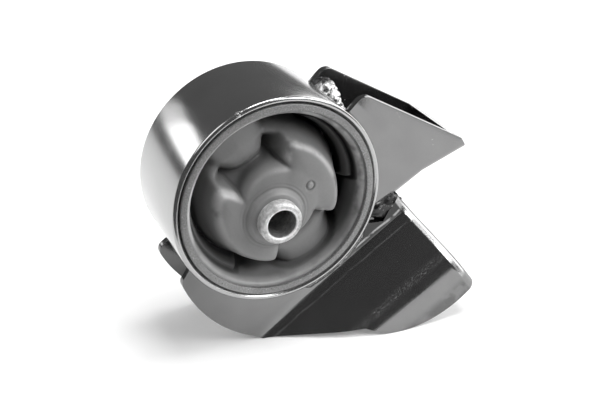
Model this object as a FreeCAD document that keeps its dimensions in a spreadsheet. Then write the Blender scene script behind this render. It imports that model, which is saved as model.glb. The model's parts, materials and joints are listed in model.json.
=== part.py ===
"""Engine mount: a rubber bush in a steel shell, carried by two folded channel brackets.

The document is in millimetres with +Z up.  The origin is the middle of the inner tube, whose
bore runs along Y.  Every profile is drawn in the XZ plane about the shell's axis, and depth is
counted from the middle of the shell, towards -Y for the front.
"""
import FreeCAD, Part
import math
import os

import Sketcher
from FreeCAD import Placement, Rotation, Vector

SIZES = [
    # pressed shell that the bush sits in
    ("shell_outer_radius", 45.0), ("shell_wall", 3.0), ("shell_length", 44.0),
    ("shell_lip_bevel", 1.0), ("shell_back_bevel", 0.8), ("shell_lead_in", 1.2),
    # where the shell's axis lies from the inner tube's, as the unloaded rubber holds it
    ("shell_shift_x", 2.4), ("shell_shift_z", 5.6),
    # steel sleeve bonded round the rubber and pressed into the shell
    ("sleeve_wall", 2.85), ("sleeve_edge_bevel", 0.5),
    # inner tube, clamped by the through bolt
    ("bolt_bore_radius", 6.1), ("tube_wall", 2.9), ("tube_proud", 7.5),
    ("tube_outer_bevel", 1.0), ("tube_inner_bevel", 0.4),
    # rubber core: hub, two stop wings, two legs with a curtain between them and the wings,
    # and the lining with its stop pads
    ("core_shift_x", 0.5), ("core_shift_z", -1.8), ("hub_radius", 16.6),
    ("wing_radius", 29.8), ("wing_half_angle", 52.0), ("wing_shift", 4.85),
    ("upper_wing_angle", 31.0), ("lower_wing_angle", 214.0), ("wing_draft_angle", 22.0),
    ("wing_draft_depth", 9.0),
    ("collar_radius", 12.0), ("collar_height", 2.7),
    ("leg_angle", 120.0), ("leg_width", 22.0), ("leg_recess", 8.0),
    ("leg_root_width", 13.0), ("leg_root_run", 18.0), ("leg_flare_run", 26.0),
    ("curtain_radius", 29.2), ("curtain_wall", 3.0), ("curtain_recess", 8.5),
    ("membrane_depth", 30.0), ("membrane_wall", 2.5),
    ("lining_wall", 2.0), ("lining_recess", 1.2),
    ("pad_wall", 4.8), ("pad_half_angle", 31.0), ("pad_recess", 8.0), ("pad_angle", 31.0),
    ("gate_radius", 1.7), ("gate_depth", 0.5), ("gate_x", 13.1), ("gate_z", 5.0),
    # both brackets are folded from the same sheet
    ("sheet", 3.0), ("bend_radius", 4.4),
    ("bracket_depth", 38.3), ("front_inset", 3.6),
    # upper bracket: outline of its two plates, and the web along their lower edge
    ("upper_apex_x", 57.2), ("upper_apex_z", -9.9),
    ("upper_root_angle", 31.0), ("upper_root_run", 13.6),
    ("upper_web_angle", 20.3), ("upper_web_run", 22.4),
    ("upper_tip_angle", 122.6), ("upper_tip_run", 6.7),
    ("upper_heel_x", 38.4), ("upper_heel_z", 38.6), ("upper_top_angle", 45.5),
    ("upper_foot_x", 50.2), ("upper_foot_z", -11.2), ("upper_foot_angle", -19.5),
    ("corner_radius", 5.0), ("hollow_lead", 5.0), ("hollow_rise", 30.0),
    # lower bracket: outline, and the joggle that brings its front plate forward
    ("lower_apex_x", 57.8), ("lower_apex_z", -11.6),
    ("lower_web_angle", -54.2), ("lower_web_run", 47.3),
    ("heel_end_angle", 249.0), ("toe_radius", 51.0), ("toe_x", 41.5), ("toe_rise", 0.45),
    ("waist_x", 33.0), ("waist_rise", 3.6),
    ("heel_radius", 58.05), ("heel_x", 13.1), ("heel_z", -11.1),
    ("front_heel_angle", 198.1), ("rear_heel_angle", 201.5),
    ("front_cheek_angle", 210.0), ("rear_cheek_angle", 219.5),
    ("lower_ear", 5.5),
    ("lower_brow_x", 49.5), ("lower_brow_z", -21.8), ("lower_brow_angle", -29.0),
    ("heel_corner_radius", 4.0),
    ("joggle_direction", 33.5), ("joggle_land", 2.4), ("joggle_angle", 48.0),
    ("joggle_radius", 8.0), ("joggle_run", 21.3),
    # bolt hole in each web
    ("bolt_hole_radius", 5.5), ("upper_hole_run", 10.4), ("lower_hole_run", 23.0),
    # weld beads
    ("bead_leg", 3.2), ("bead_face_height", 1.8), ("bead_setback", 3.0),
    ("bead_face_first_angle", -30.0), ("bead_face_last_angle", -76.0),
]

doc = FreeCAD.newDocument("engine_mount")
sheet = doc.addObject("Spreadsheet::Sheet", "Sizes")
for row, (alias, number) in enumerate(SIZES, start=1):
    sheet.set(f"A{row}", alias)
    sheet.set(f"B{row}", str(number))
    sheet.setAlias(f"B{row}", alias)
doc.recompute()

S = "Sizes."
HALF_LENGTH = f"{S}shell_length / 2"
FRONT_FACE = f"({HALF_LENGTH} - {S}front_inset)"
REAR_FACE = f"({FRONT_FACE} - {S}bracket_depth)"
BORE_OF_SHELL = f"({S}shell_outer_radius - {S}shell_wall)"
BORE_OF_SLEEVE = f"({BORE_OF_SHELL} - {S}sleeve_wall)"
TUBE_RADIUS = f"({S}bolt_bore_radius + {S}tube_wall)"
TUBE_LENGTH = f"({S}shell_length + 2 * {S}tube_proud)"
FAR = "120"
# how near, in millimetres, an edge has to lie to a drawn line or corner to be taken for it
ON_LINE = 0.01
ON_CORNER = 0.05
ALONG_AXIS = 0.999
# how far the flat blank runs on past the web before its ends are trimmed, and beside it
WEB_OVERRUN = "(4 * Sizes.sheet)"
BLANK_MARGIN = "(3 * Sizes.sheet)"


def number(formula):
    """The value of a formula, worked out by the sheet."""
    return float(sheet.evalExpression(formula))


# ---------------------------------------------------------------- points as formulas
def polar(radius, angle, centre=("0", "0")):
    return (f"{centre[0]} + ({radius}) * cos({angle})", f"{centre[1]} + ({radius}) * sin({angle})")


def along(point, angle, run):
    return (f"{point[0]} + ({run}) * cos({angle})", f"{point[1]} + ({run}) * sin({angle})")


def mitre(point, angle_in, angle_out, offset):
    """The corner moved to the left of a path that turns from angle_in to angle_out."""
    middle = f"(({angle_in}) + ({angle_out})) / 2 + 90"
    return along(point, middle, f"({offset}) / cos((({angle_out}) - ({angle_in})) / 2)")


# ---------------------------------------------------------------- bodies and features
def new_body(label):
    body = doc.addObject("PartDesign::Body", label)
    body.Label = label
    body.setExpression("Placement.Base.x", f"{S}shell_shift_x")
    body.setExpression("Placement.Base.z", f"{S}shell_shift_z")
    return body


def origin_plane(body, role):
    return next(feature for feature in body.Origin.OriginFeatures if feature.Role == role)


def new_sketch(body, name, depth="0", role="XZ_Plane"):
    """A sketch on an origin plane, moved along the plane's normal by a depth."""
    sketch = body.newObject("Sketcher::SketchObject", name)
    sketch.AttachmentSupport = (origin_plane(body, role), [""])
    sketch.MapMode = "FlatFace"
    sketch.setExpression("AttachmentOffset.Base.z", depth)
    return sketch


def bind(sketch, constraint, formula):
    sketch.setExpression(f"Constraints[{sketch.addConstraint(constraint)}]", formula)


def draw_circle(sketch, radius, centre=("0", "0")):
    x, z = number(centre[0]), number(centre[1])
    circle = sketch.addGeometry(Part.Circle(Vector(x, z, 0), Vector(0, 0, 1), number(radius)))
    bind(sketch, Sketcher.Constraint("Radius", circle, number(radius)), radius)
    bind(sketch, Sketcher.Constraint("DistanceX", circle, 3, x), centre[0])
    bind(sketch, Sketcher.Constraint("DistanceY", circle, 3, z), centre[1])


def draw_outline(sketch, corners, arcs=None):
    """A closed outline through corners given as pairs of formulas.

    arcs maps the index of a side to its radius: positive where the path turns left along it.
    """
    arcs = arcs or {}
    spots = [Vector(number(x), number(z), 0) for x, z in corners]
    ends = []
    for index, start in enumerate(spots):
        stop = spots[(index + 1) % len(spots)]
        if index not in arcs:
            side = sketch.addGeometry(Part.LineSegment(start, stop))
            ends.append((side, 1, 2))
            continue
        radius = number(arcs[index])
        chord = stop - start
        left = Vector(-chord.y, chord.x, 0).normalize()
        rise = math.sqrt(radius ** 2 - chord.Length ** 2 / 4)
        centre = (start + stop) / 2 + left * math.copysign(rise, radius)
        first, last = (start, stop) if radius > 0 else (stop, start)
        angles = [math.atan2(spot.y - centre.y, spot.x - centre.x) for spot in (first, last)]
        circle = Part.Circle(centre, Vector(0, 0, 1), abs(radius))
        side = sketch.addGeometry(Part.ArcOfCircle(circle, *angles))
        ends.append((side, 1, 2) if radius > 0 else (side, 2, 1))
        bind(sketch, Sketcher.Constraint("Radius", side, abs(radius)), f"abs({arcs[index]})")
    for index, (side, start_end, stop_end) in enumerate(ends):
        after, after_start, _ = ends[(index + 1) % len(ends)]
        sketch.addConstraint(Sketcher.Constraint("Coincident", side, stop_end, after, after_start))
        x, z = corners[index]
        bind(sketch, Sketcher.Constraint("DistanceX", side, start_end, number(x)), x)
        bind(sketch, Sketcher.Constraint("DistanceY", side, start_end, number(z)), z)


def pad(body, sketch, name, length, backwards=False, symmetric=False):
    feature = body.newObject("PartDesign::Pad", name)
    feature.Profile = sketch
    feature.setExpression("Length", length)
    feature.Midplane = symmetric
    feature.Reversed = backwards
    return feature


def pocket(body, sketch, name, length, forwards=False, symmetric=False):
    feature = body.newObject("PartDesign::Pocket", name)
    feature.Profile = sketch
    feature.setExpression("Length", length)
    feature.Midplane = symmetric
    feature.Reversed = forwards
    return feature


def round_edges(body, base, name, radius, wanted):
    """Fillet the edges of the last feature that the test picks out."""
    doc.recompute()
    names = [f"Edge{i}" for i, edge in enumerate(base.Shape.Edges, start=1) if wanted(edge)]
    feature = body.newObject("PartDesign::Fillet", name)
    feature.Base = (base, names)
    feature.setExpression("Radius", radius)
    return feature


def bevel_edges(body, base, name, size, wanted):
    doc.recompute()
    names = [f"Edge{i}" for i, edge in enumerate(base.Shape.Edges, start=1) if wanted(edge)]
    feature = body.newObject("PartDesign::Chamfer", name)
    feature.Base = (base, names)
    feature.setExpression("Size", size)
    return feature


def is_rim(edge, radius):
    """True for a full circle of this radius about the shell's axis."""
    return isinstance(edge.Curve, Part.Circle) and abs(edge.Curve.Radius - radius) < ON_LINE


def ring(body, name, outer, inner, length):
    sketch = new_sketch(body, f"{name}_section")
    draw_circle(sketch, outer)
    draw_circle(sketch, inner)
    return pad(body, sketch, name, length, symmetric=True)


# ---------------------------------------------------------------- shell, sleeve and tube
def make_outer_shell():
    body = new_body("outer_shell")
    wall = ring(body, "shell_tube", f"{S}shell_outer_radius", BORE_OF_SHELL, f"{S}shell_length")
    outer = number(f"{S}shell_outer_radius")
    lip = bevel_edges(body, wall, "shell_lip", f"{S}shell_lip_bevel",
                      lambda edge: is_rim(edge, outer) and edge.CenterOfMass.y < 0)
    back = bevel_edges(body, lip, "shell_back_edge", f"{S}shell_back_bevel",
                       lambda edge: is_rim(edge, outer) and edge.CenterOfMass.y > 0)
    bore = number(BORE_OF_SHELL)
    bevel_edges(body, back, "shell_mouth", f"{S}shell_lead_in", lambda edge: is_rim(edge, bore))


def make_bush_sleeve():
    body = new_body("bush_sleeve")
    wall = ring(body, "sleeve_tube", BORE_OF_SHELL, BORE_OF_SLEEVE, f"{S}shell_length")
    outer = number(BORE_OF_SHELL)
    bevel_edges(body, wall, "sleeve_bevel", f"{S}sleeve_edge_bevel",
                lambda edge: is_rim(edge, outer))


def make_inner_tube():
    body = doc.addObject("PartDesign::Body", "inner_tube")
    body.Label = "inner_tube"
    wall = ring(body, "tube", TUBE_RADIUS, f"{S}bolt_bore_radius", TUBE_LENGTH)
    outer, bore = number(TUBE_RADIUS), number(f"{S}bolt_bore_radius")
    bevelled = bevel_edges(body, wall, "tube_end_bevel", f"{S}tube_outer_bevel",
                           lambda edge: is_rim(edge, outer))
    bevel_edges(body, bevelled, "tube_mouth", f"{S}tube_inner_bevel",
                lambda edge: is_rim(edge, bore))


# ---------------------------------------------------------------- rubber
CORE = (f"{S}core_shift_x", f"{S}core_shift_z")


def wing_outline(sketch, angle, grow):
    """One stop wing: a broad arc on straight flanks that run out from the core's centre."""
    radius = f"({S}wing_radius + {grow})"
    # where a flank from the core's centre meets the arc, whose centre lies behind it
    reach = (f"(sqrt({radius} * {radius} - ({S}wing_shift * sin({S}wing_half_angle))^2)"
             f" - {S}wing_shift * cos({S}wing_half_angle))")
    right = polar(reach, f"{angle} - {S}wing_half_angle", CORE)
    left = polar(reach, f"{angle} + {S}wing_half_angle", CORE)
    draw_outline(sketch, [CORE, right, left], {1: radius})


def leg_spot(run, aside):
    """A point of the legs' outline: so far along the legs, and so far to their left."""
    return along(polar(run, f"{S}leg_angle"), f"{S}leg_angle + 90", aside)


def make_rubber_bush():
    body = new_body("rubber_bush")
    lining_length = f"({S}shell_length - 2 * {S}lining_recess)"
    ring(body, "lining", BORE_OF_SLEEVE, f"({BORE_OF_SLEEVE} - {S}lining_wall)", lining_length)

    membrane = new_sketch(body, "membrane_section", f"{HALF_LENGTH} - {S}membrane_depth")
    draw_circle(membrane, f"({BORE_OF_SLEEVE} - {S}lining_wall / 2)")
    pad(body, membrane, "membrane", f"{S}membrane_wall", backwards=True)

    leg_length = f"({S}shell_length - 2 * {S}leg_recess)"
    sketch = new_sketch(body, "leg_section")
    half = f"({S}leg_width / 2)"
    reach = f"({BORE_OF_SLEEVE} - {S}lining_wall / 2)"
    side = f"(asin({half} / {BORE_OF_SLEEVE}) / 1 deg)"
    root = f"({S}leg_root_width / 2)"
    ends = [polar(reach, f"{S}leg_angle {turn}") for turn in
            (f"- {side}", f"+ {side}", f"+ 180 - {side}", f"+ 180 + {side}")]
    left = [leg_spot(f"{S}leg_flare_run", half), leg_spot(f"{S}leg_root_run", root),
            leg_spot(f"-{S}leg_root_run / 2", half)]
    right = [leg_spot(f"-{S}leg_root_run / 2", f"-{half}"),
             leg_spot(f"{S}leg_root_run", f"-{root}"), leg_spot(f"{S}leg_flare_run", f"-{half}")]
    draw_outline(sketch, ends[:2] + left + ends[2:] + right)
    pad(body, sketch, "legs", leg_length, symmetric=True)
    ring(body, "curtain", f"{S}curtain_radius", f"({S}curtain_radius - {S}curtain_wall)",
         f"({S}shell_length - 2 * {S}curtain_recess)")

    pad_length = f"({S}shell_length - 2 * {S}pad_recess)"
    for name, angle in (("upper_pad", f"{S}pad_angle"), ("lower_pad", f"({S}pad_angle + 180)")):
        sketch = new_sketch(body, f"{name}_section")
        outer = f"({BORE_OF_SLEEVE} - {S}lining_wall / 2)"
        inner = f"({BORE_OF_SLEEVE} - {S}pad_wall)"
        low, high = f"{angle} - {S}pad_half_angle", f"{angle} + {S}pad_half_angle"
        draw_outline(sketch, [polar(outer, low), polar(outer, high), polar(inner, high),
                              polar(inner, low)], {0: outer, 2: f"-{inner}"})
        pad(body, sketch, name, pad_length, symmetric=True)

    hub = new_sketch(body, "hub_section")
    draw_circle(hub, f"{S}hub_radius", CORE)
    pad(body, hub, "hub", f"{S}shell_length", symmetric=True)
    grow = f"{S}wing_draft_depth * tan({S}wing_draft_angle)"
    for name, angle in (("upper", f"{S}upper_wing_angle"), ("lower", f"{S}lower_wing_angle")):
        middle = new_sketch(body, f"{name}_wing_middle")
        wing_outline(middle, angle, grow)
        pad(body, middle, f"{name}_wing", f"{S}shell_length - 2 * {S}wing_draft_depth",
            symmetric=True)
        for end, sign in (("front", ""), ("rear", "-")):
            face = new_sketch(body, f"{name}_wing_{end}_face", f"{sign}{HALF_LENGTH}")
            wing_outline(face, angle, "0")
            root = new_sketch(body, f"{name}_wing_{end}_root",
                              f"{sign}({HALF_LENGTH} - {S}wing_draft_depth)")
            wing_outline(root, angle, grow)
            loft = body.newObject("PartDesign::AdditiveLoft", f"{name}_wing_{end}")
            loft.Profile = face
            loft.Sections = [root]
            loft.Ruled = True

    collar = new_sketch(body, "collar_section")
    tube_spot = (f"-{S}shell_shift_x", f"-{S}shell_shift_z")
    draw_circle(collar, f"{S}collar_radius", tube_spot)
    pad(body, collar, "collar", f"{S}shell_length + 2 * {S}collar_height", symmetric=True)
    gate = new_sketch(body, "gate_section", HALF_LENGTH)
    draw_circle(gate, f"{S}gate_radius", (f"{S}gate_x", f"{S}gate_z"))
    pocket(body, gate, "gate_mark", f"{S}gate_depth")
    tube_hole = new_sketch(body, "tube_hole_section")
    draw_circle(tube_hole, TUBE_RADIUS, tube_spot)
    pocket(body, tube_hole, "tube_hole", f"2 * {S}shell_length", symmetric=True)


# ---------------------------------------------------------------- upper bracket
UPPER_APEX = (f"{S}upper_apex_x", f"{S}upper_apex_z")
UPPER_ROOT = along(UPPER_APEX, f"{S}upper_root_angle", f"{S}upper_root_run")
UPPER_TIP = along(UPPER_ROOT, f"{S}upper_web_angle", f"{S}upper_web_run")
UPPER_TIP_TOP = along(UPPER_TIP, f"{S}upper_tip_angle", f"{S}upper_tip_run")
SHELL_RADIUS = f"{S}shell_outer_radius"
IN_SHELL = f"({S}shell_outer_radius - {S}shell_wall)"


def cut_for_shell(body):
    sketch = new_sketch(body, f"{body.Label}_seat_section")
    draw_circle(sketch, SHELL_RADIUS)
    pocket(body, sketch, f"{body.Label}_seat", FAR, symmetric=True)


def cut_bolt_hole(body, spot, web_angle):
    """A bolt hole square through a web, halfway between the plates."""
    sketch = new_sketch(body, f"{body.Label}_hole_section", spot[1], role="XY_Plane")
    sketch.AttachmentOffset = Placement(Vector(), Rotation(Vector(0, 1, 0), -number(web_angle)))
    sketch.setExpression("AttachmentOffset.Rotation.Angle", f"-({web_angle}) * 1 deg")
    sketch.setExpression("AttachmentOffset.Base.x", spot[0])
    sketch.setExpression("AttachmentOffset.Base.y", f"-({FRONT_FACE} + {REAR_FACE}) / 2")
    draw_circle(sketch, f"{S}bolt_hole_radius")
    pocket(body, sketch, f"{body.Label}_bolt_hole", f"4 * {S}sheet", symmetric=True)


def runs_across(edge):
    """True for a straight edge parallel to the shell's axis."""
    return isinstance(edge.Curve, Part.Line) and abs(edge.Curve.Direction.y) > ALONG_AXIS


def passes(edge, spot):
    """True for an edge parallel to the shell's axis through a corner of an outline."""
    if not runs_across(edge):
        return False
    start = edge.Vertexes[0].Point
    return math.hypot(start.x - number(spot[0]), start.z - number(spot[1])) < ON_CORNER


def off_line(point, spot, angle):
    """Distance of a point from the line through a spot at an angle in the XZ plane."""
    turn = math.radians(number(angle))
    return (point.z - number(spot[1])) * math.cos(turn) - (point.x - number(spot[0])) * math.sin(turn)


def make_upper_bracket():
    body = new_body("upper_bracket")
    outline = new_sketch(body, "upper_outline", FRONT_FACE)
    heel = (f"{S}upper_heel_x", f"{S}upper_heel_z")
    foot = (f"{S}upper_foot_x", f"{S}upper_foot_z")
    draw_outline(outline, [UPPER_APEX, UPPER_ROOT, UPPER_TIP, UPPER_TIP_TOP, heel,
                           polar(IN_SHELL, f"{S}upper_top_angle"),
                           polar(IN_SHELL, f"{S}upper_foot_angle"), foot])
    block = pad(body, outline, "upper_block", f"{S}bracket_depth", backwards=True)

    faces = (number(f"-{FRONT_FACE}"), number(f"-{REAR_FACE}"))
    chain = ((UPPER_APEX, f"{S}upper_root_angle"), (UPPER_ROOT, f"{S}upper_web_angle"))

    def on_web_edge(edge):
        middle = edge.valueAt((edge.FirstParameter + edge.LastParameter) / 2)
        if runs_across(edge) or min(abs(middle.y - face) for face in faces) > ON_LINE:
            return False
        return any(all(abs(off_line(end.Point, spot, angle)) < ON_LINE for end in edge.Vertexes)
                   for spot, angle in chain)

    bends = round_edges(body, block, "upper_bends", f"{S}bend_radius", on_web_edge)
    round_edges(body, bends, "upper_corners", f"{S}corner_radius",
                lambda edge: passes(edge, heel) or passes(edge, foot))

    hollow = new_sketch(body, "upper_hollow_outline", f"{FRONT_FACE} - {S}sheet")
    web_in = mitre(UPPER_ROOT, f"{S}upper_root_angle", f"{S}upper_web_angle", f"{S}sheet")
    tip_in = mitre(UPPER_TIP, f"{S}upper_web_angle", f"{S}upper_tip_angle", f"{S}sheet")
    draw_outline(hollow, [along(UPPER_APEX, f"{S}upper_root_angle - 90", f"{S}hollow_lead"),
                          along(UPPER_APEX, f"{S}upper_root_angle + 90", f"{S}sheet"),
                          web_in, tip_in,
                          along(tip_in, f"{S}upper_tip_angle", f"{S}hollow_rise"),
                          ("0", FAR), ("0", f"-{FAR}")])
    pocket(body, hollow, "upper_hollow", f"{S}bracket_depth - 2 * {S}sheet")
    cut_for_shell(body)
    cut_bolt_hole(body, along(UPPER_ROOT, f"{S}upper_web_angle", f"{S}upper_hole_run"),
                  f"{S}upper_web_angle")


# ---------------------------------------------------------------- lower bracket
LOWER_APEX = (f"{S}lower_apex_x", f"{S}lower_apex_z")
LOWER_TIP = along(LOWER_APEX, f"{S}lower_web_angle", f"{S}lower_web_run")
HEEL_CENTRE = (f"{S}heel_x", f"{S}heel_z")
EAR = along(LOWER_APEX, f"{S}lower_web_angle - 90", f"{S}lower_ear")
BROW = (f"{S}lower_brow_x", f"{S}lower_brow_z")
HEEL_END = polar(f"{S}heel_radius", f"{S}heel_end_angle", HEEL_CENTRE)
WAIST = (f"{S}waist_x", f"{HEEL_END[1]} + {S}waist_rise")
TOE = (f"{S}toe_x", f"{HEEL_END[1]} + {S}toe_rise")


def lower_outline(sketch, heel_angle, cheek_angle):
    """Outline of a plate of the lower bracket, left wide where the web's bends run."""
    outward = f"{S}lower_web_angle + 90"
    draw_outline(sketch, [along(LOWER_APEX, outward, f"{S}sheet"), EAR, BROW,
                          polar(IN_SHELL, f"{S}lower_brow_angle"), polar(IN_SHELL, cheek_angle),
                          polar(f"{S}heel_radius", heel_angle, HEEL_CENTRE), HEEL_END,
                          WAIST, TOE, LOWER_TIP, along(LOWER_TIP, outward, f"{S}sheet")],
                 {5: f"{S}heel_radius", 8: f"{S}toe_radius"})


JOGGLE_START = f"({S}shell_outer_radius + {S}joggle_land)"


def joggle_sketch(body, name):
    """A sketch square to the joggle's bends: X runs back along Y, Y away from the shell."""
    sketch = new_sketch(body, name, role="YZ_Plane")
    turn = f"180 - {S}joggle_direction"
    sketch.AttachmentOffset = Placement(Vector(), Rotation(Vector(1, 0, 0), number(turn)))
    sketch.setExpression("AttachmentOffset.Rotation.Angle", f"({turn}) * 1 deg")
    return sketch


def joggle_curve(offset):
    """Corners of the joggled plate's section, on its front face or moved back by an offset."""
    alpha, bend = f"{S}joggle_angle", f"{S}joggle_radius"
    rise, run = f"{bend} * (1 - cos({alpha}))", f"{bend} * sin({alpha})"
    back, out = f"({offset}) * cos({alpha})", f"({offset}) * sin({alpha})"
    depths = [FRONT_FACE, FRONT_FACE, f"{FRONT_FACE} + {rise}",
              f"{FRONT_FACE} + {rise} + {S}joggle_run * sin({alpha})",
              f"{FRONT_FACE} + 2 * {rise} + {S}joggle_run * sin({alpha})"]
    spans = [f"-{FAR}", f"{JOGGLE_START}", f"{JOGGLE_START} + {run}",
             f"{JOGGLE_START} + {run} + {S}joggle_run * cos({alpha})",
             f"{JOGGLE_START} + 2 * {run} + {S}joggle_run * cos({alpha})", FAR]
    depths.append(depths[-1])
    backs = [f"({offset})", f"({offset})", back, back, f"({offset})", f"({offset})"]
    outs = ["0", "0", out, out, "0", "0"]
    return [(f"-({depth} - {b})", f"{span} + {o}")
            for depth, span, b, o in zip(depths, spans, backs, outs)]


def make_lower_bracket():
    body = new_body("lower_bracket")
    section = joggle_sketch(body, "joggle_section")
    front, rear = joggle_curve("0"), joggle_curve(f"{S}sheet")
    draw_outline(section, front + rear[::-1],
                 {1: f"{S}joggle_radius", 3: f"-{S}joggle_radius",
                  7: f"{S}joggle_radius - {S}sheet", 9: f"-({S}joggle_radius + {S}sheet)"})
    pad(body, section, "front_plate", f"2 * {FAR}", symmetric=True)

    rear_plate = new_sketch(body, "rear_plate_section", REAR_FACE)
    draw_outline(rear_plate, [(f"-{FAR}", f"-{FAR}"), (FAR, f"-{FAR}"), (FAR, FAR),
                              (f"-{FAR}", FAR)])
    pad(body, rear_plate, "rear_plate", f"{S}sheet")
    angle, wide = f"{S}lower_web_angle", f"4 * {FAR}"
    above = along(LOWER_APEX, f"{angle} + 180", WEB_OVERRUN)
    below = along(LOWER_TIP, angle, WEB_OVERRUN)
    web = new_sketch(body, "web_section", REAR_FACE)
    draw_outline(web, [above, along(above, f"{angle} - 90", f"{S}sheet"),
                       along(below, f"{angle} - 90", f"{S}sheet"), below])
    pad(body, web, "web", FAR)
    ahead = joggle_sketch(body, "ahead_section")
    draw_outline(ahead, front + [(f"-2 * {FAR}", FAR), (f"-2 * {FAR}", f"-{FAR}")],
                 {1: f"{S}joggle_radius", 3: f"-{S}joggle_radius"})
    pocket(body, ahead, "clear_ahead", f"4 * {FAR}", symmetric=True)
    blank = new_sketch(body, "blank_outline")
    draw_outline(blank, [(wide, wide), (f"-{wide}", wide), (f"-{wide}", f"-{wide}"),
                         (wide, f"-{wide}")])
    draw_outline(blank, [above, below, ("0", f"-{FAR}"), (f"-{FAR}", f"-{FAR}"), (f"-{FAR}", "0"),
                         along(above, f"{angle} - 90", BLANK_MARGIN)])
    folded = pocket(body, blank, "blank", wide, symmetric=True)

    def on_web_edge(edge):
        if runs_across(edge):
            return False
        start, length = edge.FirstParameter, edge.LastParameter - edge.FirstParameter
        spots = [edge.valueAt(start + length * share) for share in (0.0, 0.5, 1.0)]
        return all(abs(off_line(spot, LOWER_APEX, angle)) < ON_LINE for spot in spots)

    round_edges(body, folded, "lower_bends", f"{S}bend_radius", on_web_edge)
    for name, heel, cheek, back in (("front", "front_heel_angle", "front_cheek_angle", False),
                                    ("rear", "rear_heel_angle", "rear_cheek_angle", True)):
        trim = new_sketch(body, f"{name}_trim_outline")
        draw_outline(trim, [(wide, wide), (f"-{wide}", wide), (f"-{wide}", f"-{wide}"),
                            (wide, f"-{wide}")])
        lower_outline(trim, f"{S}{heel}", f"{S}{cheek}")
        trimmed = pocket(body, trim, f"{name}_trim", FAR, forwards=not back)
    heels = [polar(f"{S}heel_radius", f"{S}{angle}", HEEL_CENTRE)
             for angle in ("front_heel_angle", "rear_heel_angle")]
    round_edges(body, trimmed, "heel_corners", f"{S}heel_corner_radius",
                lambda edge: any(passes(edge, heel) for heel in heels))
    cut_for_shell(body)
    cut_bolt_hole(body, along(LOWER_APEX, f"{S}lower_web_angle", f"{S}lower_hole_run"),
                  f"{S}lower_web_angle")


# ---------------------------------------------------------------- weld beads
def make_ring_bead(label, plate_face, ahead, radial, axial, high_angle, low_angle):
    """A fillet bead in the corner between the shell and a plate's face."""
    body = new_body(label)
    sketch = new_sketch(body, f"{label}_section", role="XY_Plane")
    sketch.AttachmentOffset = Placement(Vector(), Rotation(Vector(0, 1, 0), -number(high_angle)))
    sketch.setExpression("AttachmentOffset.Rotation.Angle", f"-({high_angle}) * 1 deg")
    step = f"+ {axial}" if ahead else f"- {axial}"
    draw_outline(sketch, [(SHELL_RADIUS, f"-({plate_face})"),
                          (f"{SHELL_RADIUS} + {radial}", f"-({plate_face})"),
                          (SHELL_RADIUS, f"-({plate_face} {step})")])
    bead = body.newObject("PartDesign::Revolution", f"{label}_bead")
    bead.Profile = sketch
    bead.ReferenceAxis = (sketch, ["V_Axis"])
    bead.setExpression("Angle", f"({high_angle} - ({low_angle})) * 1 deg")


def make_apex_bead():
    """The bead that joins the two webs where they meet, inside the notch."""
    body = new_body("weld_apex")
    sketch = new_sketch(body, "weld_apex_section", f"{FRONT_FACE} - {S}sheet")
    upper_in = along(UPPER_APEX, f"{S}upper_root_angle + 90", f"{S}sheet")
    lower_in = along(LOWER_APEX, f"{S}lower_web_angle - 90", f"{S}sheet")
    middle = (f"(({upper_in[0]}) + ({lower_in[0]})) / 2 - {S}sheet",
              f"(({upper_in[1]}) + ({lower_in[1]})) / 2")
    draw_outline(sketch, [LOWER_APEX, UPPER_APEX, upper_in, middle, lower_in])
    pad(body, sketch, "weld_apex_bead", f"{S}bracket_depth - 2 * {S}sheet", backwards=True)


make_outer_shell()
make_bush_sleeve()
make_inner_tube()
make_rubber_bush()
make_upper_bracket()
make_lower_bracket()
FRONT_BACK = f"({FRONT_FACE} - {S}sheet)"
REAR_FRONT = f"({REAR_FACE} + {S}sheet)"
BACK = f"{S}bead_setback"
make_ring_bead("weld_upper_front", FRONT_BACK, False, f"{S}bead_leg", f"{S}bead_leg",
               f"({S}upper_top_angle - {BACK})", f"({S}upper_foot_angle + {BACK})")
make_ring_bead("weld_upper_rear", REAR_FRONT, True, f"{S}bead_leg", f"{S}bead_leg",
               f"({S}upper_top_angle - {BACK})", f"({S}upper_foot_angle + {BACK})")
make_ring_bead("weld_lower_front", FRONT_BACK, False, f"{S}bead_leg", f"{S}bead_leg",
               f"({S}lower_brow_angle - {BACK})", f"({S}front_cheek_angle + {BACK} - 360)")
make_ring_bead("weld_lower_rear", REAR_FRONT, True, f"{S}bead_leg", f"{S}bead_leg",
               f"({S}lower_brow_angle - {BACK})", f"({S}rear_cheek_angle + {BACK} - 360)")
make_ring_bead("weld_lower_face", FRONT_FACE, True, f"{S}joggle_land", f"{S}bead_face_height",
               f"{S}bead_face_first_angle", f"{S}bead_face_last_angle")
make_apex_bead()
doc.recompute()

for obj in doc.Objects:
    if {"Invalid", "Error"} & set(obj.State):
        raise RuntimeError(f"{obj.Label} could not be built: {obj.getStatusString()}")
os.makedirs("parts", exist_ok=True)
for obj in doc.Objects:
    if obj.TypeId == "PartDesign::Body":
        if obj.Shape.isNull() or not obj.Shape.isValid():
            raise RuntimeError(f"{obj.Label} is not a sound solid")
        obj.Shape.exportStep(f"parts/{obj.Label}.step")
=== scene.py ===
import math

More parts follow.
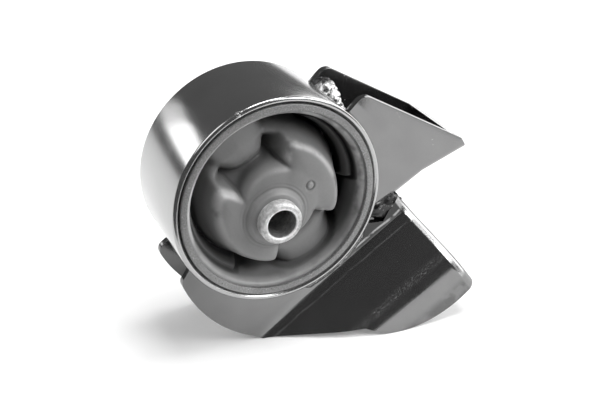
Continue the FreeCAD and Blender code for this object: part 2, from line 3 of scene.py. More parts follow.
import bmesh
import bpy
import numpy as np
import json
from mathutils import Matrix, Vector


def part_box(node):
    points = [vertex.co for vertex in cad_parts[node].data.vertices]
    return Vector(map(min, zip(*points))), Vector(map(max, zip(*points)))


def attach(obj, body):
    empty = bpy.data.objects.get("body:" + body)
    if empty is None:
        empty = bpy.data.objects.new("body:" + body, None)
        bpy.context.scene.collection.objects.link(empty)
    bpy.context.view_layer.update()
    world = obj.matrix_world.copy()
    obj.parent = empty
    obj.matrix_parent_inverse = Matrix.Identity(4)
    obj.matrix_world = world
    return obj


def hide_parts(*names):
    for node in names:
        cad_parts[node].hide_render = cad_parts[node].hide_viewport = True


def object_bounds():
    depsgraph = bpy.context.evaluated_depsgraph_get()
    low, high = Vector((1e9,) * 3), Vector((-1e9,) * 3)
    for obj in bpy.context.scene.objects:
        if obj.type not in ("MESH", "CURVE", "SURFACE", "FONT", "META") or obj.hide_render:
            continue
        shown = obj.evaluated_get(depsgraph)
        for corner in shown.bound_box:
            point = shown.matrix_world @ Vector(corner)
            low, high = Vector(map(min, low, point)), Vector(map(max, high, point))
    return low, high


# Looks of a rubber engine mount: bush, sleeve and shell, two folded brackets and their welds.
# Lengths are in metres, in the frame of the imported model: bore along Y, front towards -Y.
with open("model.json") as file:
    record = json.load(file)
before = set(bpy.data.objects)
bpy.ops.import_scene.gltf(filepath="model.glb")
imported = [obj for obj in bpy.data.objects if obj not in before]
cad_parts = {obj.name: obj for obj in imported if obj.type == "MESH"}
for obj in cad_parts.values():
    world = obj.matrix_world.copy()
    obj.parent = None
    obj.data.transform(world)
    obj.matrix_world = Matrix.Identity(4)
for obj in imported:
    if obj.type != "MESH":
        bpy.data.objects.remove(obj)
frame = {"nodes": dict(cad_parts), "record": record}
cad_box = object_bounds()
nodes = frame["nodes"]
MM = 0.001
TURN = 2 * math.pi


# ------------------------------------------------------------------ places read from the frame
def middle(node):
    """The centre of a node's box."""
    low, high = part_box(node)
    return (low + high) / 2


shell_low, shell_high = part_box("outer_shell")
SHELL_X, SHELL_Z = middle("outer_shell").x, middle("outer_shell").z
SHELL_R = (shell_high.x - shell_low.x) / 2
FRONT_Y, BACK_Y = shell_low.y, shell_high.y
sleeve_low, sleeve_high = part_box("bush_sleeve")
SEAT_R = (sleeve_high.x - sleeve_low.x) / 2
bush_low, bush_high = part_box("rubber_bush")
SLEEVE_BORE_R = (bush_high.x - bush_low.x) / 2
tube_low, tube_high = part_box("inner_tube")
TUBE_R = (tube_high.x - tube_low.x) / 2
TUBE_END_Y = tube_high.y
mounts = {row["name"]: row for row in frame["record"]["mounts"]}
BOLT_R = mounts["tube_bore"]["dims"]["r_mm"] * MM
WEB_SEAT, WEB_NORMAL = (mounts["lower_web_seat"][key] for key in ("pos_m", "axis"))
FLOOR_Z = cad_box[0][2]
COLLAR_RISE = shell_low.y - bush_low.y
PLATE_FRONT, PLATE_BACK = (corner.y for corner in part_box("upper_bracket"))
SHEET = 3 * MM

# directions about the bore, counted from +X towards +Z, and places on the face
JOGGLE_TURN = math.radians(33.5)
LEG_ANGLE = math.radians(120)
CHIP_ANGLE = math.radians(112)
CORE_X, CORE_Z = 0.5 * MM, -1.8 * MM
RIM_CHIP = (SHELL_X + SHELL_R * math.cos(CHIP_ANGLE), FRONT_Y,
            SHELL_Z + SHELL_R * math.sin(CHIP_ANGLE))
SPATTER = (40 * MM, PLATE_BACK - SHEET, 34 * MM)


# ------------------------------------------------------------------ meshes from arrays
MERGE = 0.002 * MM


def make_mesh(name, points, faces, sharp=35):
    """A closed mesh object from an array of points and an array or list of faces."""
    mesh = bpy.data.meshes.new(name)
    mesh.from_pydata(np.asarray(points, float).tolist(), [], [list(f) for f in faces])
    piece = bpy.data.objects.new(name, mesh)
    bpy.context.scene.collection.objects.link(piece)
    work = bmesh.new()
    work.from_mesh(mesh)
    bmesh.ops.remove_doubles(work, verts=work.verts, dist=MERGE)
    bmesh.ops.recalc_face_normals(work, faces=work.faces)
    work.to_mesh(mesh)
    work.free()
    mesh.shade_smooth()
    mesh.set_sharp_from_angle(angle=math.radians(sharp))
    return piece


def grid_faces(rows, columns, loop_rows=False):
    """Quads of a grid of points, whose columns, and rows where asked, join end to end."""
    i, j = np.arange(rows if loop_rows else rows - 1), np.arange(columns)
    i, j = (part.ravel() for part in np.meshgrid(i, j, indexing="ij"))
    after_i, after_j = (i + 1) % rows, (j + 1) % columns
    return np.stack([i * columns + j, after_i * columns + j,
                     after_i * columns + after_j, i * columns + after_j], axis=1)


def round_corners(corners, steps=6):
    """A closed profile through corners (a, b, radius), each turned by an arc of its radius.

    At a corner the arc starts and ends radius * tan(turn / 2) away, on a centre that lies on
    the line halving the corner.
    """
    spots = np.array([(a, b) for a, b, _ in corners], float)
    path = []
    for index, (_, _, radius) in enumerate(corners):
        here = spots[index]
        into = here - spots[index - 1]
        out = spots[(index + 1) % len(corners)] - here
        into, out = into / np.linalg.norm(into), out / np.linalg.norm(out)
        turn = math.acos(float(np.clip(into @ out, -1, 1)))
        cut = radius * math.tan(turn / 2)
        share = np.linspace(0, 1, steps + 1)[:, None]
        first, last = here - into * cut, here + out * cut
        centre = here + (out - into) / np.linalg.norm(out - into) * radius / math.cos(turn / 2)
        weight_last = np.sin(share * turn) / math.sin(turn)
        weight_first = np.sin((1 - share) * turn) / math.sin(turn)
        path.append(centre + weight_first * (first - centre) + weight_last * (last - centre))
    return np.concatenate(path)


def turned(name, corners, centre=(SHELL_X, SHELL_Z), steps=256):
    """A profile of (radius, y) turned about a line along Y: x = r cos(a), z = r sin(a)."""
    profile = round_corners(corners)
    angle = np.linspace(0, TURN, steps, endpoint=False)[:, None]
    radius, y = profile[None, :, 0], profile[None, :, 1]
    points = np.stack([centre[0] + radius * np.cos(angle), y + 0 * angle,
                       centre[1] + radius * np.sin(angle)], axis=-1)
    return make_mesh(name, points.reshape(-1, 3), grid_faces(steps, len(profile), True))


def finish_piece(piece, node, material):
    """Put a piece in place of the frame's node, with its finish."""
    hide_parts(node)
    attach(piece, "root")
    piece.data.materials.clear()
    piece.data.materials.append(material)


# ------------------------------------------------------------------ shader sums
class Wire:
    """A socket of a material's node tree that adds, scales and mixes as a number does."""

    def __init__(self, kit, socket):
        self.kit, self.socket = kit, socket

    def sum(self, operation, *values):
        """A Math node of the wire and any further values."""
        return self.kit.node("Math", {"operation": operation},
                             **{f"i{n}": v for n, v in enumerate((self,) + values)})

    def __add__(self, other):
        return self.sum("ADD", other)

    __radd__ = __add__

    def __mul__(self, other):
        return self.sum("MULTIPLY", other)

    __rmul__ = __mul__

    def __sub__(self, other):
        return self.sum("SUBTRACT", other)

    def __rsub__(self, other):
        return (self * -1).sum("ADD", other)

    def __pow__(self, other):
        return self.sum("POWER", other)

    def between(self, low, high, to_low=0.0, to_high=1.0):
        """Runs smoothly from to_low to to_high while the wire runs from low to high."""
        return self.kit.node("MapRange", {"interpolation_type": "SMOOTHSTEP"}, i0=self, i1=low,
                             i2=high, i3=to_low, i4=to_high)


class Kit:
    """Builds the node tree of one material, light or world."""

    def __init__(self, tree):
        self.tree = tree
        tree.nodes.clear()

    def node(self, kind, settings=None, out=0, **sockets):
        """A shader node with its settings, and its inputs by number (i0) or name."""
        made = self.tree.nodes.new(f"ShaderNode{kind}")
        for key, value in (settings or {}).items():
            setattr(made, key, value)
        for key, value in sockets.items():
            place = int(key[1:]) if key[0] == "i" and key[1:].isdigit() else key.replace("_", " ")
            target = made.inputs[place]
            if isinstance(value, Wire):
                self.tree.links.new(value.socket, target)
            elif isinstance(value, (int, float)) and target.type == "RGBA":
                target.default_value = (value, value, value, 1)
            else:
                target.default_value = value
        return Wire(self, made.outputs[out]) if len(made.outputs) else None

    def place(self):
        """Object coordinates."""
        return self.node("TexCoord", out=3)

    def noise(self, scale, detail, rough=0.55, warp=0.0):
        """Cloudy noise between about 0.2 and 0.8, finer with a larger scale."""
        return self.node("TexNoise", Vector=self.place(), Scale=scale, Detail=detail,
                         Roughness=rough, Distortion=warp)

    def spots(self, scale, size):
        """1 inside small scattered dots, 0 elsewhere."""
        cell = self.node("TexVoronoi", Vector=self.place(), Scale=scale)
        return 1 - cell.between(size * 0.6, size)

    def grey(self, value):
        """A grey colour from a number."""
        return self.node("CombineColor", i0=value, i1=value, i2=value)

    def bump(self, height, strength, distance):
        """A normal tilted by the slope of a height."""
        return self.node("Bump", Height=height, Strength=strength, Distance=distance)


def axes(kit):
    """The x, y and z of Object coordinates, as three wires."""
    spot = kit.node("SeparateXYZ", i0=kit.place())
    made = spot.socket.node
    return [Wire(kit, made.outputs[n]) for n in range(3)]


def material(name, build):
    """A material whose build function returns the inputs of its Principled shader."""
    made = bpy.data.materials.new(name)
    made.use_nodes = True
    kit = Kit(made.node_tree)
    shader = kit.node("BsdfPrincipled", **build(kit))
    kit.node("OutputMaterial", i0=shader)
    return made


def black_paint(shade, grain, polish, wear, extra):
    """Dark e-coat over steel: a mirror-like film with fine grain and a few rubbed flecks.

    The extra build gives the marks, 0 on whole film and up to 1 where it is rubbed, spattered
    or given a painted highlight, and a factor that darkens the film with painted shade and
    blotches.
    """
    def build(kit):
        mottle = kit.noise(90, 5)
        fine = kit.noise(grain, 2)
        flecks = kit.spots(420, 0.10) * kit.noise(60, 2).between(0.60, 0.66) * wear
        marks, shade_and_blotches = extra(kit)
        # the marks add rubbed wear and painted highlights; the factor multiplies in painted shade
        # and blotches
        tone = (shade + 0.05 * (mottle - 0.5)) * shade_and_blotches + 0.45 * flecks + 0.50 * marks
        rough = polish + 0.10 * (mottle - 0.5) + 0.08 * (fine - 0.5) + 0.25 * marks
        return {"Base_Color": kit.grey(tone), "Metallic": 0.93, "Roughness": rough,
                "Normal": kit.bump(fine + 0.6 * mottle + 3.0 * marks, 0.10, 0.05 * MM)}
    return build


def near(kit, spot, inner, outer):
    """1 within the inner distance of a spot, 0 past the outer one."""
    x, y, z = axes(kit)
    gap = ((x - spot[0]) ** 2 + (y - spot[1]) ** 2 + (z - spot[2]) ** 2) ** 0.5
    return 1 - gap.between(inner, outer)


def stripe(run, at, half):
    """1 on the line where the run is at a value, 0 past a half width."""
    return 1 - (run - at).sum("ABSOLUTE").between(half * 0.3, half)


def upper_marks(kit):
    """Weld spatter on the inside of the back plate, about the upper rear bead."""
    _, y, _ = axes(kit)
    inside = 1 - y.between(PLATE_BACK - 2.5 * MM, PLATE_BACK - 1.5 * MM)
    spatter = kit.spots(520, 0.20) * near(kit, SPATTER, 5 * MM, 34 * MM)
    spatter = spatter * kit.noise(190, 2).between(0.50, 0.58) * inside
    return spatter, 1.0


# distances across the joggle from the bore's axis: lines of rubbed film and painted highlight
# at its first and last bend, and a fainter one beside the first
FIRST_LINE, LAST_LINE, FAINT_LINE = 52.3 * MM, 67.8 * MM, 46.6 * MM


def lower_marks(kit):
    """Lines of rubbed film and painted highlight along the joggle's bends, a painted highlight on
    the web's bend, painted shade beside the shell, on the web's outer face and towards -X, and
    painted shade with blotches on the strip.
    """
    x, y, z = axes(kit)
    run = (x - SHELL_X) * math.sin(JOGGLE_TURN) - (z - SHELL_Z) * math.cos(JOGGLE_TURN)
    front = 1 - y.between(PLATE_FRONT + 1 * MM, PLATE_FRONT + 2 * MM)
    broken = kit.noise(260, 4, 0.7)
    wander = 1.6 * MM * (kit.noise(60, 2) - 0.5)
    upward = z.between(-33 * MM, -25 * MM)
    # first, last and beside: rubbed film and painted highlights along the bends
    first = stripe(run + wander, FIRST_LINE, 0.40 * MM) * broken.between(0.20, 0.68) * 0.45
    specks = kit.noise(1300, 3, 0.7).between(0.40, 0.70)
    last = stripe(run + wander, LAST_LINE, 2.4 * MM) * specks * 0.55
    beside = stripe(run + 2 * wander, FAINT_LINE, 0.7 * MM) * broken.between(0.40, 0.50) * upward
    depth = (x - WEB_SEAT[0]) * WEB_NORMAL[0] + (z - WEB_SEAT[2]) * WEB_NORMAL[2]
    # bend: painted highlight on the web's bend; face: the web's outer face, painted dark along its
    # silhouette as shade
    bend = depth.between(-3.8 * MM, -3.0 * MM) * (1 - run.between(79 * MM, 82 * MM)) * front
    face = depth.between(-1.0 * MM, -0.65 * MM)
    flat = 1 - depth.between(-4.5 * MM, -3.5 * MM)
    marks = (first + last + beside * 0.5) * front * flat + 0.55 * bend * (1 - face)
    # painted shade on the flat land beside the shell
    shaded_land = run.between(39 * MM, 42 * MM) * (1 - run.between(47 * MM, 50 * MM)) * upward
    blotches = kit.noise(110, 5, 0.6).between(0.42, 0.58)
    # the strip: painted shade with blotches
    strip = run.between(80 * MM, 86 * MM) * (0.12 + 0.30 * blotches)
    shade_and_blotches = 1 - (0.76 * shaded_land + strip * flat) * front
    # the web's outer face is painted dark, and the film painted darker towards -X, both as shade
    return marks, shade_and_blotches * (1 - 0.85 * face) * x.between(-45 * MM, 0, 0.62, 1.0)


def shell_marks(kit):
    """A chip in the film on the rim, and spatter beside the upper rear bead."""
    lump = kit.noise(900, 3, 0.7)
    chip = near(kit, RIM_CHIP, 0.8 * MM, 2.6 * MM) * lump.between(0.46, 0.56)
    spatter = kit.spots(520, 0.16) * near(kit, SPATTER, 5 * MM, 22 * MM)
    marks = chip + 0.6 * spatter * kit.noise(190, 2).between(0.50, 0.58)
    return marks, 1.0


def bright_bead(kit):
    """A weld bead with painted highlights on its lumps and painted shade in the hollows between
    them.
    """
    lumps = kit.noise(330, 5, 0.65)
    # painted highlights on the lumps' tops and painted shade in the hollows between
    glint_tops = lumps.between(0.40, 0.50)
    tone = 0.10 + 0.80 * glint_tops
    return {"Base_Color": kit.grey(tone), "Metallic": 0.85, "Roughness": 0.24 + 0.1 * lumps,
            "Normal": kit.bump(lumps, 0.8, 1.1 * MM)}


def dark_bead(kit):
    """A rough bead in a corner, painted dark as the shade in the gap there, with a few paler lumps.
    """
    lumps = kit.noise(420, 4, 0.6)
    # painted shade: the bead is coloured dark for the shade of the gap at the apex
    return {"Base_Color": kit.grey(0.05 + 0.35 * lumps.between(0.56, 0.70)), "Metallic": 0.9,
            "Roughness": 0.28, "Normal": kit.bump(lumps, 0.5, 0.5 * MM)}


def weld_paint(kit):
    """Black film over a rippled bead, rubbed bright where the bead is highest."""
    lumps = kit.noise(260, 4)
    tone = 0.20 + 0.30 * lumps.between(0.55, 0.75)
    return {"Base_Color": kit.grey(tone), "Metallic": 0.93,
            "Roughness": 0.16 + 0.2 * kit.noise(120, 3),
            "Normal": kit.bump(lumps, 0.5, 0.4 * MM)}


def cut_steel(kit):
    """Dull phosphated steel, grainy on its cut end, with a few pits and painted glints."""
    grain = kit.noise(1500, 3, 0.7)
    patch = kit.noise(70, 4)
    pits = kit.spots(500, 0.18) * kit.noise(140, 2).between(0.55, 0.62)
    # glints: painted specks of highlight
    glints = kit.spots(1100, 0.22) * kit.noise(300, 3).between(0.52, 0.60)
    tone = 0.26 + 0.45 * (grain - 0.5) + 0.15 * (patch - 0.5) - 0.15 * pits + 0.35 * glints
    tone = tone.sum("MAXIMUM", 0.02)
    return {"Base_Color": kit.grey(tone), "Metallic": 0.55, "Roughness": 0.5,
            "Normal": kit.bump(grain - pits, 0.5, 0.12 * MM)}


def machined_steel(kit):
    """Bright turned steel, rough and chipped on its end face, with a painted highlight round the
    bore's edge and painted shade deep inside the bore.
    """
    x, y, z = axes(kit)
    reach = (x * x + z * z) ** 0.5
    grain = kit.noise(700, 4, 0.7)
    patch = kit.noise(210, 3)
    bore = 1 - reach.between(6.05 * MM, 6.3 * MM)
    tone = 0.58 + 0.9 * (grain - 0.5) + 0.6 * (patch - 0.5)
    # painted highlight on the end face round the bore's edge
    tone = tone + 0.35 * (1 - reach.between(6.6 * MM, 7.2 * MM)) * (1 - bore)
    # painted shade inside the bore, darker deeper in
    tone = tone * (1 - bore * (0.62 * y.between(-26 * MM, -16 * MM)))
    tone = tone.sum("MAXIMUM", 0.02).sum("MINIMUM", 1.0)
    return {"Base_Color": kit.grey(tone), "Metallic": 0.35 + 0.45 * bore,
            "Roughness": 0.42, "Normal": kit.bump(grain + patch, 0.45, 0.2 * MM)}


def moulded_rubber(kit):
    """Matt black rubber with a pale bloom in soft clouds and fine dust.

    Painted shade darkens its gaps round the wings, its hollows and the lining's wall on the right;
    painted highlights lighten its ridges and, more towards the top, the wings' rims.
    """
    cloud = kit.noise(35, 4, warp=0.6)
    fine = kit.noise(900, 3)
    dust = kit.spots(600, 0.12) * kit.noise(80, 2).between(0.62, 0.68)
    x, y, z = axes(kit)
    reach = ((x - SHELL_X) ** 2 + (z - SHELL_Z) ** 2) ** 0.5
    deep = y.between(FRONT_Y + 3 * MM, FRONT_Y + 7 * MM)
    across = ((x - SHELL_X) * math.sin(LEG_ANGLE) - (z - SHELL_Z) * math.cos(LEG_ANGLE))
    across = across.sum("ABSOLUTE")
    # outer: the deep gaps round the wings, darkened below as painted shade
    outer = reach.between(29.5 * MM, 31.5 * MM) * deep * across.between(12 * MM, 17 * MM)
    ridge = kit.node("Attribute", {"attribute_name": "ridge"}, out=2)
    tone = 0.23 + 0.07 * (cloud - 0.5) + 0.03 * (fine - 0.5) + 0.10 * dust
    side = (0.94 * (x - SHELL_X) + 0.34 * (z - SHELL_Z)).between(8 * MM, 22 * MM)
    shaded = reach.between(28.5 * MM, 31 * MM) * y.between(FRONT_Y + 0.5 * MM, FRONT_Y + 2 * MM)
    # painted shade in the deep gaps and on the lining's wall at the right; the ridge term paints
    # highlights on ridges and shade in hollows
    tone = tone * (1 - 0.3 * outer) * (1 - 0.6 * side * shaded) + 0.13 * (ridge - 0.5)
    from_core = ((x - SHELL_X - CORE_X) ** 2 + (z - SHELL_Z - CORE_Z) ** 2) ** 0.5
    # painted highlight along the wings' rims, stronger towards the top where the lamp above lights
    # them
    crest_highlight = ridge.between(0.58, 0.92) * from_core.between(17 * MM, 21 * MM)
    crest_highlight = crest_highlight * (0.07 + 0.24 * z.between(-20 * MM, 15 * MM))
    tone = tone + crest_highlight * kit.noise(120, 3).between(0.30, 0.60) * (1 - deep)
    return {"Base_Color": kit.grey(tone), "Roughness": 0.38 + 0.15 * (cloud - 0.5),
            "Normal": kit.bump(fine + 0.5 * cloud, 0.22, 0.1 * MM)}


SHELL_PAINT = material("shell_black_film", black_paint(0.38, 1300, 0.17, 0.6, shell_marks))
UPPER_PAINT = material("upper_black_film", black_paint(0.20, 1100, 0.13, 0.8, upper_marks))
LOWER_PAINT = material("lower_black_film", black_paint(0.20, 1100, 0.13, 0.8, lower_marks))
WELD_PAINT = material("bead_black_film", weld_paint)
BRIGHT_BEAD = material("bead_painted_glints", bright_bead)
DARK_BEAD = material("bead_painted_shade", dark_bead)
SLEEVE_STEEL = material("sleeve_cut_steel", cut_steel)
TUBE_STEEL = material("tube_turned_steel", machined_steel)
RUBBER = material("moulded_rubber", moulded_rubber)


# ------------------------------------------------------------------ turned steel
# each corner: its distance from the axis, its place along Y and its rounding
shell = turned("shell_pressing", [
    (SHELL_R, FRONT_Y, 1.2 * MM), (SHELL_R, BACK_Y, 1.2 * MM), (SEAT_R, BACK_Y, 0.5 * MM),
    (SEAT_R, FRONT_Y + 1.5 * MM, 0.3 * MM), (SEAT_R + 1.3 * MM, FRONT_Y, 0.4 * MM)])
finish_piece(shell, "outer_shell", SHELL_PAINT)

sleeve = turned("pressed_sleeve", [
    (SEAT_R, FRONT_Y, 0.5 * MM), (SEAT_R, BACK_Y, 0.5 * MM),
    (SLEEVE_BORE_R, BACK_Y, 0.4 * MM), (SLEEVE_BORE_R, FRONT_Y, 0.4 * MM)])
finish_piece(sleeve, "bush_sleeve", SLEEVE_STEEL)

tube = turned("through_tube", [
    (TUBE_R, -TUBE_END_Y + 1.0 * MM, 0.4 * MM), (TUBE_R, TUBE_END_Y - 1.0 * MM, 0.4 * MM),
    (TUBE_R - 1.0 * MM, TUBE_END_Y, 0.4 * MM), (BOLT_R + 0.4 * MM, TUBE_END_Y, 0.3 * MM),
    (BOLT_R, TUBE_END_Y - 0.5 * MM, 0.2 * MM), (BOLT_R, -TUBE_END_Y + 0.5 * MM, 0.2 * MM),
    (BOLT_R + 0.4 * MM, -TUBE_END_Y, 0.3 * MM), (TUBE_R - 1.0 * MM, -TUBE_END_Y, 0.4 * MM)],
    (0.0, 0.0), 128)
finish_piece(tube, "inner_tube", TUBE_STEEL)


# ------------------------------------------------------------------ moulded rubber
def hinge(distance, radius):
    """0 inside an outline and the distance outside it, rounded over the radius between."""
    return (distance + np.sqrt(distance ** 2 + radius ** 2)) / 2


def blend_max(a, b, radius):
    """The larger of two heights, with a fillet of about the radius where they cross."""
    return (a + b + np.sqrt((a - b) ** 2 + radius ** 2)) / 2


# the hub, and a wing's arc with how far its centre lies behind the hub's
HUB_R = 16.6 * MM
WING_R, WING_SHIFT = 29.8 * MM, 4.85 * MM
# each wing: bearing of its arc, then its two flanks as (x, z, bearing of the outward normal)
WINGS = ((31, (4.0, 15.0, 177), (0.5, -1.8, -111)), (214, (-14.6, 3.6, 58), (1.5, -1.8, -4)))
# the two legs along one line: half widths at distances along it, in millimetres
LEG_RECESS = 8 * MM
LEG_RUNS, LEG_HALVES = (-9, 18, 26, 38), (12.2, 6.5, 11.0, 12.5)
CURTAIN_R, CURTAIN_WALL, CURTAIN_RECESS = 29.2 * MM, 4 * MM, 8.5 * MM
PAD_WALL, PAD_HALF, PAD_RECESS = 4.8 * MM, math.radians(31), 8 * MM
PAD_ANGLES = (31, 211)
# the thin wall that closes the gaps, deep inside
MEMBRANE_DEPTH, MEMBRANE_WALL = 30 * MM, 2.5 * MM
# a small moulded pip, and the fine rings round the foot of the collar
PIP_X, PIP_Z = 13.1 * MM, 5.0 * MM
COLLAR_R, RINGS_R, RINGS_REACH, RINGS_PITCH = 10.8 * MM, 12.6 * MM, 1.8 * MM, 1.5 * MM
# how steeply a wing falls past its arc, past its flanks and at the curtain
ARC_SLOPE, FLANK_SLOPE, EDGE_SLOPE = 2.3, 4.5, 9


def beyond(x, z, line):
    """Distance past a flank's line, along its outward normal."""
    x0, z0, bearing = line
    turn = math.radians(bearing)
    return (x - x0 * MM) * math.cos(turn) + (z - z0 * MM) * math.sin(turn)


def wing_height(x, z, reach, angle, left, right):
    """A wing's face: level within its arc and flanks, drafted past the arc, steep past the rest."""
    angle = math.radians(angle)
    arc = np.hypot(x - CORE_X + WING_SHIFT * math.cos(angle),
                   z - CORE_Z + WING_SHIFT * math.sin(angle)) - WING_R
    flank = blend_max(beyond(x, z, left), beyond(x, z, right), 1.0 * MM)
    aside = (1 + np.tanh((flank - arc) / (2.5 * MM))) / 2
    outside = blend_max(arc, flank, 2.6 * MM) - 0.4 * MM
    slope = ARC_SLOPE + (FLANK_SLOPE - ARC_SLOPE) * aside
    return -slope * hinge(outside, 1.5 * MM) - EDGE_SLOPE * hinge(reach - CURTAIN_R, 1.0 * MM)


def rubber_height(x, z):
    """Height of the rubber's face over the sleeve's end: the blend of its parts' plateaus.

    Each part is its plateau less a wall, whose drop is a steep slope times the rounded
    distance outside the part's outline.
    """
    reach, bearing = np.hypot(x, z), np.arctan2(z, x)
    from_core = np.hypot(x - CORE_X, z - CORE_Z)
    height = -hinge(from_core - HUB_R, 1.2 * MM) * 5
    for angle, left, right in WINGS:
        height = blend_max(height, wing_height(x, z, reach, angle, left, right), 1.2 * MM)
    run = x * math.cos(LEG_ANGLE) + z * math.sin(LEG_ANGLE)
    across = np.abs(x * math.sin(LEG_ANGLE) - z * math.cos(LEG_ANGLE))
    half = np.interp(run / MM, LEG_RUNS, LEG_HALVES) * MM
    dip = 2.5 * MM * np.exp(-((from_core - 18.5 * MM) / (3.0 * MM)) ** 2)
    leg = -LEG_RECESS - dip - 2.6 * hinge(across - half, 3.0 * MM)
    height = blend_max(height, leg, 1.6 * MM)
    curtain = np.abs(reach - CURTAIN_R + CURTAIN_WALL / 2) - CURTAIN_WALL / 2
    sunk = CURTAIN_RECESS + 5 * MM * np.exp(-(across / (12 * MM)) ** 4)
    height = blend_max(height, -sunk - 3 * hinge(curtain, 2.0 * MM), 3.0 * MM)
    lining = -1.2 * MM - 7 * hinge(SLEEVE_BORE_R - 2 * MM - reach, 0.6 * MM)
    height = blend_max(height, lining, 1.2 * MM)
    for angle in PAD_ANGLES:
        off = np.abs((bearing - math.radians(angle) + math.pi) % TURN - math.pi) - PAD_HALF
        outside = np.maximum(SLEEVE_BORE_R - PAD_WALL - reach, off * reach)
        height = blend_max(height, -PAD_RECESS - 6 * hinge(outside, 1.0 * MM), 1.2 * MM)
    from_tube = np.hypot(x + SHELL_X, z + SHELL_Z)
    collar = COLLAR_RISE - 1.4 * hinge(from_tube - COLLAR_R, 0.8 * MM)
    height = blend_max(height, collar, 1.0 * MM)
    rings = np.cos(TURN * from_tube / RINGS_PITCH)
    rings = rings * np.exp(-((from_tube - RINGS_R) / RINGS_REACH) ** 2)
    pip = np.hypot(x - PIP_X, z - PIP_Z)
    groove = 0.5 * np.exp(-((pip - 1.8 * MM) / (0.4 * MM)) ** 2)
    return height + (0.14 * rings - groove + 0.35 * np.exp(-(pip / (1.2 * MM)) ** 4)) * MM


def make_rubber(front_rows=126, back_rows=42, columns=560):
    """Both faces of the rubber between the tube and the sleeve, the back one on a coarser grid.

    A grid point lies on a circle whose centre and radius run from the tube's to the
    sleeve's.  A slim membrane towards the back closes the gaps, so each face falls no
    farther than its side of the membrane.
    """
    angle = np.linspace(0, TURN, columns, endpoint=False)[None]
    back_depth = BACK_Y - FRONT_Y - MEMBRANE_DEPTH - MEMBRANE_WALL
    spots = []
    for rows, end, side, depth in ((front_rows, FRONT_Y, 1, MEMBRANE_DEPTH),
                                   (back_rows, BACK_Y, -1, back_depth)):
        share = np.linspace(0, 1, rows)[:, None]
        radius = TUBE_R + share * (SLEEVE_BORE_R - TUBE_R)
        x = -SHELL_X * (1 - share) + radius * np.cos(angle)
        z = -SHELL_Z * (1 - share) + radius * np.sin(angle)
        rise = np.maximum(rubber_height(x, z), -depth)
        spots.append(np.stack([SHELL_X + x, end - side * rise, SHELL_Z + z], axis=-1))
    count = front_rows * columns
    faces = [grid_faces(front_rows, columns), grid_faces(back_rows, columns)[:, ::-1] + count]
    for front_edge, back_edge in ((0, 0), (front_rows - 1, back_rows - 1)):
        front, back = (edge * columns + np.arange(columns) for edge in (front_edge, back_edge))
        faces.append(np.stack([front, np.roll(front, -1), np.roll(back, -1) + count,
                               back + count], axis=1))
    return make_mesh("moulded_bush", np.concatenate([spot.reshape(-1, 3) for spot in spots]),
                     np.concatenate(faces), 60)


def mark_ridges(piece, step=1.5 * MM):
    """Keep in an attribute how far each point of the face stands above its neighbours' mean."""
    spots = np.array([vertex.co for vertex in piece.data.vertices])
    x, z = spots[:, 0] - SHELL_X, spots[:, 2] - SHELL_Z
    around = sum(rubber_height(x + a * step, z + b * step)
                 for a, b in ((1, 0), (-1, 0), (0, 1), (0, -1))) / 4
    ridge = np.clip(0.5 + (rubber_height(x, z) - around) / (1.2 * MM), 0, 1)
    layer = piece.data.attributes.new("ridge", "FLOAT", "POINT")
    layer.data.foreach_set("value", ridge.astype(np.float32))


rubber = make_rubber()
mark_ridges(rubber)
finish_piece(rubber, "rubber_bush", RUBBER)


# ------------------------------------------------------------------ folded brackets
EDGE_ROUND, CAD_MERGE = 0.7 * MM, 0.005 * MM


def folded_sheet(name, node):
    """A merged copy of the frame's folded sheet, with its sheared edges rounded."""
    mesh = nodes[node].data.copy()
    piece = bpy.data.objects.new(name, mesh)
    bpy.context.scene.collection.objects.link(piece)
    work = bmesh.new()
    work.from_mesh(mesh)
    bmesh.ops.remove_doubles(work, verts=work.verts, dist=CAD_MERGE)
    bmesh.ops.dissolve_limit(work, angle_limit=math.radians(1.0), verts=work.verts,
                             edges=work.edges)
    bmesh.ops.recalc_face_normals(work, faces=work.faces)
    work.to_mesh(mesh)
    work.free()
    mesh.shade_smooth()
    rounding = piece.modifiers.new("edge_rounding", "BEVEL")
    rounding.width, rounding.segments = EDGE_ROUND, 3
    rounding.limit_method, rounding.angle_limit = "ANGLE", math.radians(32)
    rounding.use_clamp_overlap, rounding.harden_normals = True, True
    return piece


JOGGLE_START, JOGGLE_ANGLE, JOGGLE_SLOPE = 47.4 * MM, math.radians(48), 21.3 * MM
JOGGLE_RADIUS, EASY_START_RADIUS, EASY_END_RADIUS = 8 * MM, 12 * MM, 30 * MM
EASY_START_SHIFT, EASY_END_SHIFT = -1.0 * MM, 1.5 * MM
CUT_START, CUT_END, CUT_STEP = JOGGLE_START - 4 * MM, JOGGLE_START + 36 * MM, 0.8 * MM
# along Y: how far the sloping sheet reaches behind its face, and what counts as on the face
SHEET_REACH, ON_FACE = 5 * MM, 0.12 * MM


def bend_drop(run, corner, radius, angle):
    """Depth gained past a bend whose straight sides would meet at the corner.

    The bend is an arc of the radius between its tangent points, each radius * tan(angle / 2)
    from the corner along the sides.
    """
    start = corner - radius * math.tan(angle / 2)
    width = radius * math.sin(angle)
    along = np.clip(run - start, 0, width)
    arc = radius - np.sqrt(radius ** 2 - along ** 2)
    return arc + np.maximum(run - start - width, 0) * math.tan(angle)


def joggle_depth(run, shifts, radii):
    """How far the joggled face stands before its flat, with its two corners shifted along."""
    reach = JOGGLE_RADIUS * math.tan(JOGGLE_ANGLE / 2)
    span = 2 * reach + JOGGLE_SLOPE
    depth = span * math.sin(JOGGLE_ANGLE)
    near = JOGGLE_START + reach + shifts[0]
    far = JOGGLE_START + reach + span * math.cos(JOGGLE_ANGLE) + shifts[1]
    angle = math.atan2(depth, far - near)
    # the last bend is the first one turned about: it counts back from the full depth
    back = depth - bend_drop(near + far - run, near, radii[1], angle)
    return np.where(run < (near + far) / 2, bend_drop(run, near, radii[0], angle), back)


